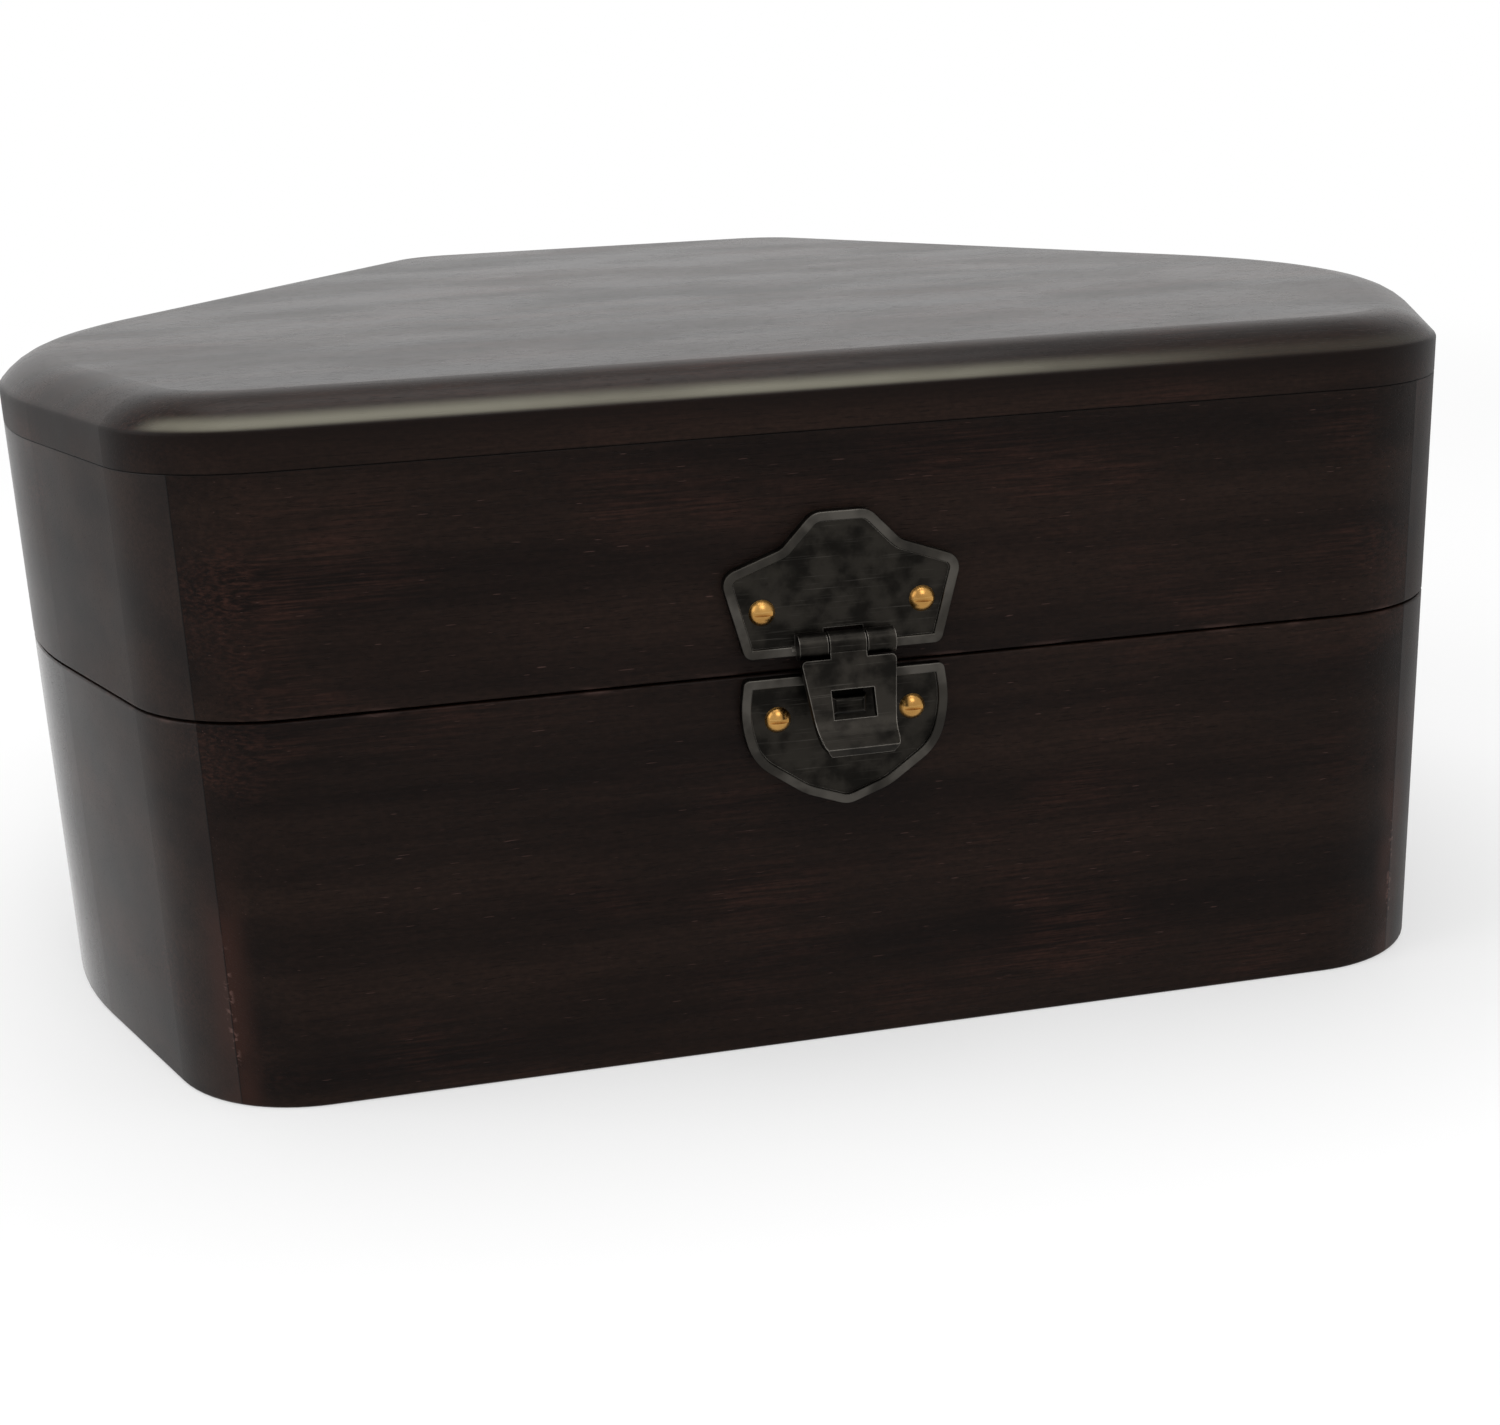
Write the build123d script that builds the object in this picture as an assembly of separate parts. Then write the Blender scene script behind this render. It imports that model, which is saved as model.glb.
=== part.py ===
import os
from math import radians, sin, sqrt, tan

from build123d import *

# Sextant box: a case of six rounded sides with a hinged lid and a spring-tongue latch.
# Millimetres. X is to the right, Y to the back, Z up. The latch is on the front, at -Y.
# The origin is on the resting face, under the middle of the plan.

# Plan of the walls' outer face. Widths are measured to the corners before rounding.
box_depth = 195.0
front_width = 160.0
widest_width = 221.0
widest_from_front = 70.5
back_width = 80.0
front_corner_radius = 20.0
side_radius = 75.0
back_corner_radius = 18.0

# Heights
base_height = 50.0
seam_gap = 0.3
lid_wall_height = 29.3
top_board_thickness = 8.4

# Edges. The top board's roundover would turn upright only past the walls' outer face by its
# overhang, so it meets that face at a crease.
top_edge_radius = 10.0
top_edge_overhang = 2.2
crease_radius = 0.7
rim_edge_radius = 0.3
joint_edge_radius = 0.15
foot_edge_radius = 0.5

# Wood
wall_thickness = 10.0
panel_thickness = 6.0
rebate_depth = 5.0
panel_clearance = 0.1
mitre_reach = 25.0
cut_overshoot = 1.0

# Brads that hold the bottom panel
brad_count = 10
brad_radius = 0.6
brad_head_radius = 1.0
brad_head_height = 0.7
brad_length = 14.0

# Felt lining
felt_thickness = 1.5
glue_gap = 0.05
lining_set_down = 1.5

# Rests for the instrument's three legs
leg_spacing = 98.0
leg_triangle_height = 80.0
leg_pair_from_front = 60.0
block_width = 30.0
block_depth = 22.0
block_height = 16.0
block_corner_radius = 4.0
block_edge_radius = 1.5
block_felt_clearance = 0.3
socket_radius = 4.8
socket_depth = 9.0
socket_felt_thickness = 1.0
socket_felt_clearance = 0.1
block_screw_spacing = 20.0

# Countersunk wood screws
screw_head_radius = 1.8
screw_shank_radius = 1.0
screw_slot_width = 0.5
screw_slot_depth = 0.5
screw_tip_length = 1.5
screw_fit = 0.02
screw_set_below = 0.1
block_screw_length = 16.0
hinge_screw_length = 10.0

# Butt hinges. The axis lies just inside the back face, in the middle of the seam gap.
hinge_length = 20.0
hinge_spacing = 34.0
hinge_axis_inset = 1.2
hinge_leaf_thickness = 1.2
hinge_leaf_reach = 7.8
hinge_knuckle_radius = 2.2
hinge_knuckle_count = 5
hinge_knuckle_gap = 0.2
hinge_knuckle_clearance = 0.4
hinge_pin_radius = 1.0
hinge_screw_spacing = 12.0
leaf_recess_clearance = 0.1
lid_open_angle = 100.0
stop_allowance = 1.0
pin_running_fit = 0.05
pin_press_fit = 0.0

# Latch plates: flat bronze with a raised border, one each side of the seam
plate_thickness = 1.0
border_width = 1.2
border_height = 0.5
border_edge_radius = 0.2
lid_plate_above_rim = 2.1
lid_plate_height = 17.6
lid_plate_shoulder_height = 10.6
lid_plate_crest_foot_height = 13.4
lid_plate_foot_width = 24.8
lid_plate_shoulder_width = 30.4
lid_plate_crest_foot_width = 15.0
lid_plate_crest_width = 7.0
lid_plate_foot_radius = 1.2
lid_plate_shoulder_radius = 2.0
lid_plate_crest_radius = 2.6
base_plate_below_rim = 0.2
base_plate_height = 17.3
base_plate_waist_height = 12.3
base_plate_hip_height = 6.6
base_plate_chin_height = 2.0
base_plate_head_width = 25.4
base_plate_waist_width = 26.8
base_plate_hip_width = 24.0
base_plate_chin_width = 11.0
base_plate_head_radius = 0.8
base_plate_waist_radius = 14.0
base_plate_hip_radius = 7.0
base_plate_chin_radius = 8.0
base_plate_tip_radius = 3.0

# Round-headed brass screws of the latch
latch_screw_head_radius = 1.65
latch_screw_head_height = 1.1
latch_screw_shank_radius = 0.9
latch_screw_length = 8.0
lid_plate_screw_spacing = 20.2
lid_plate_screw_height = 5.7
base_plate_screw_spacing = 17.2
base_plate_screw_height = 11.9

# Latch tongue, its knuckles and its pin
latch_axis_above_plate_foot = 1.2
latch_axis_off_face = 1.9
latch_knuckle_radius = 1.6
latch_outer_knuckle_length = 3.6
latch_middle_knuckle_length = 4.6
latch_knuckle_gap = 0.2
latch_swing_clearance = 0.3
latch_pin_radius = 0.7
tongue_thickness = 1.2
tongue_off_plate = 0.8
tongue_head_width = 12.0
tongue_foot_width = 9.0
tongue_drop = 13.4
tongue_lip_out = 2.6
tongue_lip_drop = 2.8
tongue_lip_radius = 4.0
tongue_corner_radius = 3.0
tongue_rest_lift = 20.0

# Catch that the tongue's slot snaps over
catch_below_axis = 7.5
catch_width = 4.4
catch_height = 2.4
catch_above_plate = 2.4
catch_nose_radius = 0.7
catch_rivet_radius = 1.1
slot_side_clearance = 0.5
slot_end_clearance = 0.6

front_y = -box_depth / 2
back_y = box_depth / 2
widest_y = front_y + widest_from_front
lid_rim_z = base_height + seam_gap
top_board_z = lid_rim_z + lid_wall_height
lid_top_z = top_board_z + top_board_thickness
inside_inset = wall_thickness + felt_thickness + 2 * glue_gap

plan_corners = [
    (-front_width / 2, front_y),
    (front_width / 2, front_y),
    (widest_width / 2, widest_y),
    (back_width / 2, back_y),
    (-back_width / 2, back_y),
    (-widest_width / 2, widest_y),
]
plan_radii = [
    front_corner_radius,
    front_corner_radius,
    side_radius,
    back_corner_radius,
    back_corner_radius,
    side_radius,
]
sharpest_inner_radius = 0.5
tolerance = 0.01


def corners_at(y):
    return [index for index, corner in enumerate(plan_corners) if corner[1] == y]


def inward_step(index):
    # How far a corner of the plan moves for each millimetre that the outline moves in.
    here = Vector(*plan_corners[index])
    before = (Vector(*plan_corners[index - 1]) - here).normalized()
    after = (Vector(*plan_corners[(index + 1) % len(plan_corners)]) - here).normalized()
    half_angle = radians(before.get_angle(after)) / 2
    return (before + after).normalized() / sin(half_angle)


def plan(inset):
    points = [Vector(*corner) + inward_step(i) * inset for i, corner in enumerate(plan_corners)]
    radii = [max(radius - inset, sharpest_inner_radius) for radius in plan_radii]
    return make_face(FilletPolyline(*points, radius=radii, close=True))


def slab(inset, low, high):
    return Pos(0, 0, low) * extrude(plan(inset), amount=high - low)


def ring(outer_inset, inner_inset, low, high):
    return slab(outer_inset, low, high) - slab(inner_inset, low, high)


def mitre_sector(corner_pair, low, high):
    # All that lies between the mitre planes of two neighbouring corners.
    first, second = corner_pair
    first_way = inward_step(first).normalized() * mitre_reach
    second_way = inward_step(second).normalized() * mitre_reach
    first_corner = Vector(*plan_corners[first])
    second_corner = Vector(*plan_corners[second])
    outline = Polyline(
        first_corner - first_way,
        second_corner - second_way,
        second_corner + second_way,
        first_corner + first_way,
        close=True,
    )
    return Pos(0, 0, low) * extrude(make_face(outline), amount=high - low)


def lower_edge_rounded(piece, radius):
    return fillet(piece.faces().sort_by(Axis.Z)[0].outer_wire().edges(), radius)


def upper_edge_rounded(piece, radius):
    return fillet(piece.faces().sort_by(Axis.Z)[-1].outer_wire().edges(), radius)


def four_walls(frame, low, high):
    front_sector = mitre_sector(corners_at(front_y), low, high)
    back_sector = mitre_sector(corners_at(back_y), low, high)
    sides = (frame - front_sector - back_sector).solids().sort_by(Axis.X)
    return {
        "front_wall": frame & front_sector,
        "left_wall": sides[0],
        "right_wall": sides[-1],
        "back_wall": frame & back_sector,
    }


def top_board():
    crown = slab(-top_edge_overhang, lid_top_z - top_edge_radius - cut_overshoot, lid_top_z)
    crown = upper_edge_rounded(crown, top_edge_radius)
    board = slab(0, top_board_z, lid_top_z) & crown
    reach = top_edge_radius - top_edge_overhang
    crease_z = lid_top_z - top_edge_radius + sqrt(top_edge_radius**2 - reach**2)
    crease = board.edges().filter_by_position(Axis.Z, crease_z - tolerance, crease_z + tolerance)
    return lower_edge_rounded(fillet(crease, crease_radius), joint_edge_radius)


def column(radius, low, high):
    return Pos(0, 0, low) * Cylinder(radius, high - low, align=(Align.CENTER, Align.CENTER, Align.MIN))


# Fasteners point down, with the top of the head at the origin. Grow makes the hole for one.

def countersunk_screw(length, grow=0.0):
    head_height = screw_head_radius - screw_shank_radius
    shank_end = -length + screw_tip_length
    head = Pos(0, 0, -head_height) * Cone(
        screw_shank_radius + grow,
        screw_head_radius + grow,
        head_height,
        align=(Align.CENTER, Align.CENTER, Align.MIN),
    )
    shank = column(screw_shank_radius + grow, shank_end, -head_height)
    tip = Pos(0, 0, -length - grow) * Cone(
        0,
        screw_shank_radius + grow,
        screw_tip_length + grow,
        align=(Align.CENTER, Align.CENTER, Align.MIN),
    )
    if grow:
        return head + shank + tip + column(screw_head_radius + grow, 0, cut_overshoot)
    return head + shank + tip - screw_slot(screw_head_radius)


def screw_slot(head_radius):
    return Box(
        2 * head_radius + cut_overshoot,
        screw_slot_width,
        screw_slot_depth,
        align=(Align.CENTER, Align.CENTER, Align.MAX),
    )


def round_headed_screw(grow=0.0):
    # Here the underside of the head is at the origin.
    dome_radius = (latch_screw_head_radius**2 + latch_screw_head_height**2) / (2 * latch_screw_head_height)
    shank_end = -latch_screw_length + screw_tip_length
    shank = column(latch_screw_shank_radius + grow, shank_end, 0)
    tip = Pos(0, 0, -latch_screw_length - grow) * Cone(
        0,
        latch_screw_shank_radius + grow,
        screw_tip_length + grow,
        align=(Align.CENTER, Align.CENTER, Align.MIN),
    )
    if grow:
        return shank + tip
    dome = Pos(0, 0, latch_screw_head_height - dome_radius) * Sphere(dome_radius)
    head = dome & column(latch_screw_head_radius, 0, latch_screw_head_height)
    return head + shank + tip - Pos(0, 0, latch_screw_head_height) * screw_slot(latch_screw_head_radius)


def brad(grow=0.0):
    head = column(brad_head_radius + grow, -brad_head_height, cut_overshoot if grow else 0)
    return head + column(brad_radius + grow, -brad_length, -brad_head_height)


def placed(places, make, *sizes, grow=0.0):
    return [place * make(*sizes, grow=grow) for place in places]


def drilled(piece, holes):
    for hole in holes:
        piece = piece - hole
    return piece


# Hinges, worked out along X with the axis at the origin

pitch = hinge_length / hinge_knuckle_count
leaf_face = seam_gap / 2
hinge_axis_y = back_y - hinge_axis_inset
hinge_axis_z = base_height + leaf_face
hinge_places = {"left": Pos(-hinge_spacing / 2, hinge_axis_y, hinge_axis_z)}
hinge_places["right"] = Pos(hinge_spacing / 2, hinge_axis_y, hinge_axis_z)
leaf_inner_edge = hinge_knuckle_radius + hinge_knuckle_clearance
hinge_screw_y = -(leaf_inner_edge + hinge_leaf_reach) / 2


def along_x(radius, length):
    return Rot(0, 90, 0) * Cylinder(radius, length)


def leaf_plate(width, near_edge):
    return Pos(0, -near_edge, leaf_face) * Box(
        width,
        hinge_leaf_reach - near_edge,
        hinge_leaf_thickness,
        align=(Align.CENTER, Align.MAX, Align.MIN),
    )


def hinge_leaf(first_knuckle, bore_radius):
    # A leaf that lies above the axis, with every second knuckle from first_knuckle.
    leaf = leaf_plate(hinge_length, leaf_inner_edge)
    for index in range(first_knuckle, hinge_knuckle_count, 2):
        middle = (index + 0.5) * pitch - hinge_length / 2
        leaf = leaf + Pos(middle, 0, 0) * leaf_plate(pitch - hinge_knuckle_gap, 0)
        leaf = leaf + Pos(middle, 0, 0) * along_x(hinge_knuckle_radius, pitch - hinge_knuckle_gap)
    return leaf - along_x(bore_radius, hinge_length + cut_overshoot)


def hinge_pin():
    return along_x(hinge_pin_radius, hinge_length)


def leaf_recess():
    return Box(
        hinge_length + 2 * leaf_recess_clearance,
        hinge_leaf_reach + leaf_recess_clearance,
        2 * (leaf_face + hinge_leaf_thickness),
        align=(Align.CENTER, Align.MAX, Align.CENTER),
    )


def knuckle_groove():
    return along_x(leaf_inner_edge, hinge_length + 2 * leaf_recess_clearance)


def back_bevel():
    # The arrises of both rims are cut back so that the lid stops just past its full opening.
    rise = hinge_axis_inset * tan(radians(lid_open_angle / 2 + stop_allowance))
    wedge = Polyline((0, 0), (hinge_axis_inset, rise), (hinge_axis_inset, -rise), close=True)
    profile = Plane.YZ * make_face(wedge)
    return Pos(0, hinge_axis_y, hinge_axis_z) * extrude(profile, amount=back_width, both=True)


screw_xs = (-hinge_screw_spacing / 2, hinge_screw_spacing / 2)
hinge_base_screw_places = []
hinge_lid_screw_places = []
for hinge_place in hinge_places.values():
    for screw_x in screw_xs:
        hinge_base_screw_places.append(
            hinge_place * Pos(screw_x, hinge_screw_y, -leaf_face - screw_set_below)
        )
        hinge_lid_screw_places.append(
            hinge_place * Pos(screw_x, hinge_screw_y, leaf_face + screw_set_below) * Rot(180, 0, 0)
        )

# Rests for the legs

leg_pair_y = front_y + leg_pair_from_front
leg_places = {
    "left": Pos(-leg_spacing / 2, leg_pair_y, panel_thickness),
    "right": Pos(leg_spacing / 2, leg_pair_y, panel_thickness),
    "back": Pos(0, leg_pair_y + leg_triangle_height, panel_thickness),
}
block_screw_places = []
for leg_place in leg_places.values():
    for side in (-1, 1):
        under_block = leg_place * Pos(side * block_screw_spacing / 2, 0, screw_set_below - panel_thickness)
        block_screw_places.append(under_block * Rot(180, 0, 0))


def block_footprint(clearance, height):
    outline = RectangleRounded(
        block_width + 2 * clearance,
        block_depth + 2 * clearance,
        block_corner_radius + clearance,
    )
    return extrude(outline, amount=height)


def leg_block():
    block = block_footprint(0, block_height)
    block = block - column(socket_radius, block_height - socket_depth, block_height + cut_overshoot)
    return fillet(block.faces().sort_by(Axis.Z)[-1].edges(), block_edge_radius)


def socket_felt():
    low = block_height - socket_depth
    return column(socket_radius - socket_felt_clearance, low, low + socket_felt_thickness)


# Latch. On the front face's plane, x is to the right, y is height and extrusion comes forward.

front_plane = Plane.XZ.offset(-front_y)
lid_plate_foot_z = lid_rim_z + lid_plate_above_rim
base_plate_tip_z = base_height - base_plate_below_rim - base_plate_height
latch_axis_z = lid_plate_foot_z + latch_axis_above_plate_foot
latch_axis_y = front_y - latch_axis_off_face
latch_axis = Axis((0, latch_axis_y, latch_axis_z), (1, 0, 0))
catch_z = latch_axis_z - catch_below_axis
knuckle_row = latch_middle_knuckle_length + 2 * (latch_knuckle_gap + latch_outer_knuckle_length)
tongue_back_off_face = plate_thickness + tongue_off_plate


def bordered_plate(points, radii):
    outline = make_face(FilletPolyline(*points, radius=radii, close=True))
    sheet = extrude(outline, amount=plate_thickness)
    rim = extrude(outline - offset(outline, -border_width), amount=plate_thickness + border_height)
    top_edges = rim.faces().sort_by(Axis.Z)[-1].edges()
    rim = fillet(top_edges, border_edge_radius)
    return front_plane.location * (sheet + rim)


def lid_plate_blank():
    foot = lid_plate_foot_z
    right_side = [
        (lid_plate_foot_width / 2, foot),
        (lid_plate_shoulder_width / 2, foot + lid_plate_shoulder_height),
        (lid_plate_crest_foot_width / 2, foot + lid_plate_crest_foot_height),
        (lid_plate_crest_width / 2, foot + lid_plate_height),
    ]
    left_side = [(-x, z) for x, z in reversed(right_side)]
    right_radii = [
        lid_plate_foot_radius,
        lid_plate_shoulder_radius,
        lid_plate_crest_radius,
        lid_plate_crest_radius,
    ]
    return bordered_plate(right_side + left_side, right_radii + right_radii[::-1])


def base_plate_blank():
    tip = base_plate_tip_z
    right_side = [
        (base_plate_chin_width / 2, tip + base_plate_chin_height),
        (base_plate_hip_width / 2, tip + base_plate_hip_height),
        (base_plate_waist_width / 2, tip + base_plate_waist_height),
        (base_plate_head_width / 2, tip + base_plate_height),
    ]
    left_side = [(-x, z) for x, z in reversed(right_side)]
    right_radii = [
        base_plate_chin_radius,
        base_plate_hip_radius,
        base_plate_waist_radius,
        base_plate_head_radius,
    ]
    points = [(0, tip)] + right_side + left_side
    return bordered_plate(points, [base_plate_tip_radius] + right_radii + right_radii[::-1])


def screw_on_front(x, z):
    return Pos(x, front_y - plate_thickness, z) * Rot(90, 0, 0)


def screw_pair(spacing, z):
    return [screw_on_front(side * spacing / 2, z) for side in (-1, 1)]


lid_plate_screw_places = screw_pair(lid_plate_screw_spacing, lid_plate_foot_z + lid_plate_screw_height)
base_plate_screw_places = screw_pair(base_plate_screw_spacing, base_plate_tip_z + base_plate_screw_height)


def latch_lid_plate():
    plate = lid_plate_blank()
    notch_width = latch_middle_knuckle_length + 2 * latch_knuckle_gap
    notch_height = latch_axis_above_plate_foot + latch_knuckle_radius + latch_swing_clearance
    notch = Pos(0, front_y, lid_plate_foot_z - cut_overshoot) * Box(
        notch_width,
        2 * latch_axis_off_face + 2 * latch_knuckle_radius,
        notch_height + cut_overshoot,
        align=(Align.CENTER, Align.CENTER, Align.MIN),
    )
    plate = plate - notch
    for side in (-1, 1):
        middle = side * (knuckle_row - latch_outer_knuckle_length) / 2
        plate = plate + Pos(middle, latch_axis_y, latch_axis_z) * along_x(
            latch_knuckle_radius, latch_outer_knuckle_length
        )
    bore = along_x(latch_pin_radius + pin_press_fit, knuckle_row + cut_overshoot)
    return plate - Pos(0, latch_axis_y, latch_axis_z) * bore


def latch_tongue():
    # Drawn snapped shut, then lifted to where it rests.
    middle_y = front_y - tongue_back_off_face - tongue_thickness / 2
    bend_z = latch_axis_z - tongue_drop + tongue_lip_drop
    spine = FilletPolyline(
        (middle_y, latch_axis_z),
        (middle_y, bend_z),
        (middle_y - tongue_lip_out, bend_z - tongue_lip_drop),
        radius=tongue_lip_radius,
    )
    profile = Plane.YZ * trace(spine, tongue_thickness)
    strip = extrude(profile, amount=tongue_head_width, both=True)
    head_z = latch_axis_z - latch_knuckle_radius - latch_swing_clearance
    foot_z = latch_axis_z - tongue_drop - tongue_thickness
    outline = FilletPolyline(
        (-tongue_head_width / 2, head_z),
        (tongue_head_width / 2, head_z),
        (tongue_foot_width / 2, foot_z),
        (-tongue_foot_width / 2, foot_z),
        radius=[tongue_thickness / 2, tongue_thickness / 2, tongue_corner_radius, tongue_corner_radius],
        close=True,
    )
    neck = Pos(0, (head_z + latch_axis_z) / 2, 0) * Rectangle(
        latch_middle_knuckle_length, latch_axis_z - head_z + tongue_thickness
    )
    front_view = make_face(outline) + neck
    tongue = strip & (front_plane.location * extrude(front_view, amount=tongue_drop))
    knuckle = along_x(latch_knuckle_radius, latch_middle_knuckle_length)
    tongue = tongue + Pos(0, latch_axis_y, latch_axis_z) * knuckle
    slot = Pos(0, middle_y, catch_z) * Box(
        catch_width + 2 * slot_side_clearance,
        2 * tongue_thickness,
        catch_height + 2 * slot_end_clearance,
    )
    bore = along_x(latch_pin_radius + pin_running_fit, knuckle_row + cut_overshoot)
    tongue = tongue - slot - Pos(0, latch_axis_y, latch_axis_z) * bore
    return tongue.rotate(latch_axis, -tongue_rest_lift)


def latch_catch():
    nose = Box(catch_width, catch_height, catch_above_plate, align=(Align.CENTER, Align.CENTER, Align.MIN))
    nose = fillet(nose.faces().sort_by(Axis.Z)[-1].edges(), catch_nose_radius)
    rivet = column(catch_rivet_radius, -plate_thickness, 0)
    return Pos(0, front_y - plate_thickness, catch_z) * Rot(90, 0, 0) * (nose + rivet)


def latch_base_plate():
    rivet_hole = Pos(0, front_y, catch_z) * Rot(90, 0, 0) * Cylinder(catch_rivet_radius, 4 * plate_thickness)
    return base_plate_blank() - rivet_hole


pieces = {}
whole_height = (0, lid_top_z)

# Base: four mitred walls round a panel that is let in from below
base_frame = ring(0, wall_thickness, 0, base_height)
base_frame = upper_edge_rounded(base_frame, rim_edge_radius)
base_frame = lower_edge_rounded(base_frame, foot_edge_radius)
base_frame = base_frame - slab(wall_thickness - rebate_depth, 0, panel_thickness)
base_walls = four_walls(base_frame, *whole_height)
panel = slab(wall_thickness - rebate_depth + panel_clearance, 0, panel_thickness)

brad_path = plan(wall_thickness - rebate_depth / 2).face().outer_wire()
brad_places = []
for brad_index in range(brad_count):
    along = brad_path.position_at((brad_index + 0.5) / brad_count)
    if along.X > 0:
        for side in (-1, 1):
            brad_places.append(Pos(side * along.X, along.Y, screw_set_below) * Rot(180, 0, 0))

brad_holes = placed(brad_places, brad, grow=screw_fit)
block_screw_holes = placed(block_screw_places, countersunk_screw, block_screw_length, grow=screw_fit)
hinge_cuts = [back_bevel()]
for hinge_place in hinge_places.values():
    hinge_cuts += [hinge_place * leaf_recess(), hinge_place * knuckle_groove()]
base_hinge_holes = placed(hinge_base_screw_places, countersunk_screw, hinge_screw_length, grow=screw_fit)
lid_hinge_holes = placed(hinge_lid_screw_places, countersunk_screw, hinge_screw_length, grow=screw_fit)
base_plate_holes = placed(base_plate_screw_places, round_headed_screw, grow=screw_fit)
lid_plate_holes = placed(lid_plate_screw_places, round_headed_screw, grow=screw_fit)

for wall_name, wall in base_walls.items():
    pieces["base_" + wall_name] = drilled(wall, brad_holes)
pieces["base_back_wall"] = drilled(pieces["base_back_wall"], hinge_cuts + base_hinge_holes)
pieces["base_front_wall"] = drilled(pieces["base_front_wall"], base_plate_holes)
pieces["base_bottom_panel"] = drilled(panel, brad_holes + block_screw_holes)
pieces["base_panel_pins"] = Compound(placed(brad_places, brad))

# Felt in the base
lining_ring = (wall_thickness + glue_gap, wall_thickness + glue_gap + felt_thickness)
pieces["base_wall_lining"] = ring(*lining_ring, panel_thickness, base_height - lining_set_down)
floor_felt = slab(inside_inset, panel_thickness, panel_thickness + felt_thickness)
for leg_place in leg_places.values():
    floor_felt = floor_felt - leg_place * block_footprint(block_felt_clearance, block_height)
pieces["base_floor_lining"] = floor_felt

# Rests, with felt in their sockets and screws from below
for leg_name, leg_place in leg_places.items():
    pieces["leg_block_" + leg_name] = drilled(leg_place * leg_block(), block_screw_holes)
pieces["leg_socket_felts"] = Compound([leg_place * socket_felt() for leg_place in leg_places.values()])
pieces["leg_block_screws"] = Compound(placed(block_screw_places, countersunk_screw, block_screw_length))

# Lid: four mitred walls under a rounded top board
lid_frame = ring(0, wall_thickness, lid_rim_z, top_board_z)
lid_frame = lower_edge_rounded(lid_frame, rim_edge_radius)
lid_frame = upper_edge_rounded(lid_frame, joint_edge_radius)
for wall_name, wall in four_walls(lid_frame, *whole_height).items():
    pieces["lid_" + wall_name] = wall
pieces["lid_back_wall"] = drilled(pieces["lid_back_wall"], hinge_cuts + lid_hinge_holes)
pieces["lid_front_wall"] = drilled(pieces["lid_front_wall"], lid_plate_holes)
pieces["lid_top_board"] = top_board()
pieces["lid_wall_lining"] = ring(*lining_ring, lid_rim_z + lining_set_down, top_board_z)
pieces["lid_ceiling_lining"] = slab(inside_inset, top_board_z - felt_thickness, top_board_z)

# Hinges
for hinge_name, hinge_place in hinge_places.items():
    base_leaf = hinge_place * hinge_leaf(0, hinge_pin_radius + pin_press_fit).mirror(Plane.XY)
    lid_leaf = hinge_place * hinge_leaf(1, hinge_pin_radius + pin_running_fit)
    pieces[hinge_name + "_hinge_base_leaf"] = drilled(base_leaf, base_hinge_holes)
    pieces[hinge_name + "_hinge_lid_leaf"] = drilled(lid_leaf, lid_hinge_holes)
    pieces[hinge_name + "_hinge_pin"] = hinge_place * hinge_pin()
pieces["hinge_base_screws"] = Compound(
    placed(hinge_base_screw_places, countersunk_screw, hinge_screw_length)
)
pieces["hinge_lid_screws"] = Compound(
    placed(hinge_lid_screw_places, countersunk_screw, hinge_screw_length)
)

# Latch
pieces["latch_lid_plate"] = drilled(latch_lid_plate(), lid_plate_holes)
pieces["latch_base_plate"] = drilled(latch_base_plate(), base_plate_holes)
pieces["latch_catch"] = latch_catch()
pieces["latch_tongue"] = latch_tongue()
pieces["latch_pin"] = Pos(0, latch_axis_y, latch_axis_z) * along_x(latch_pin_radius, knuckle_row)
pieces["latch_lid_screws"] = Compound(placed(lid_plate_screw_places, round_headed_screw))
pieces["latch_base_screws"] = Compound(placed(base_plate_screw_places, round_headed_screw))

os.makedirs("parts", exist_ok=True)
for node, piece in pieces.items():
    export_step(piece, "parts/" + node + ".step")
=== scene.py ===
# Sextant box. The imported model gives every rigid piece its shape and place. This script gives
# the camera, the light, the finishes, and the felt that lines the base and the lid.
from math import ceil, cos, pi, radians, sin, tan

import bmesh
import bpy
from mathutils import Matrix, Vector, noise


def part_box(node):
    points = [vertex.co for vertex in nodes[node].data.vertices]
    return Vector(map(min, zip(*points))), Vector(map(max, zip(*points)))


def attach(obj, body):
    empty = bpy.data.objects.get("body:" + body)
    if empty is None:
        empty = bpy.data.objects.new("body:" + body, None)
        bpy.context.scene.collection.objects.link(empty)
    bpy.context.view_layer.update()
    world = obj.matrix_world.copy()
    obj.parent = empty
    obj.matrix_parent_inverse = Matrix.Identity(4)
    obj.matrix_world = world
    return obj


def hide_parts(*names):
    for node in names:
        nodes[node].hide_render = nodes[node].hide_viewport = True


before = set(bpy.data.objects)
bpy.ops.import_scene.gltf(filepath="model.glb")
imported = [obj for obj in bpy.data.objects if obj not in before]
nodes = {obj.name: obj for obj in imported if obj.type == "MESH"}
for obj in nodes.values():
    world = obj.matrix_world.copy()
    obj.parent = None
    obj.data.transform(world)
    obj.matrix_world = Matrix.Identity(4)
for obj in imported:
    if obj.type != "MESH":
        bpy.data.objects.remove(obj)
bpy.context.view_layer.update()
millimetre = 0.001


# Camera: found from the box's own outline and seam in the photograph

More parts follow.
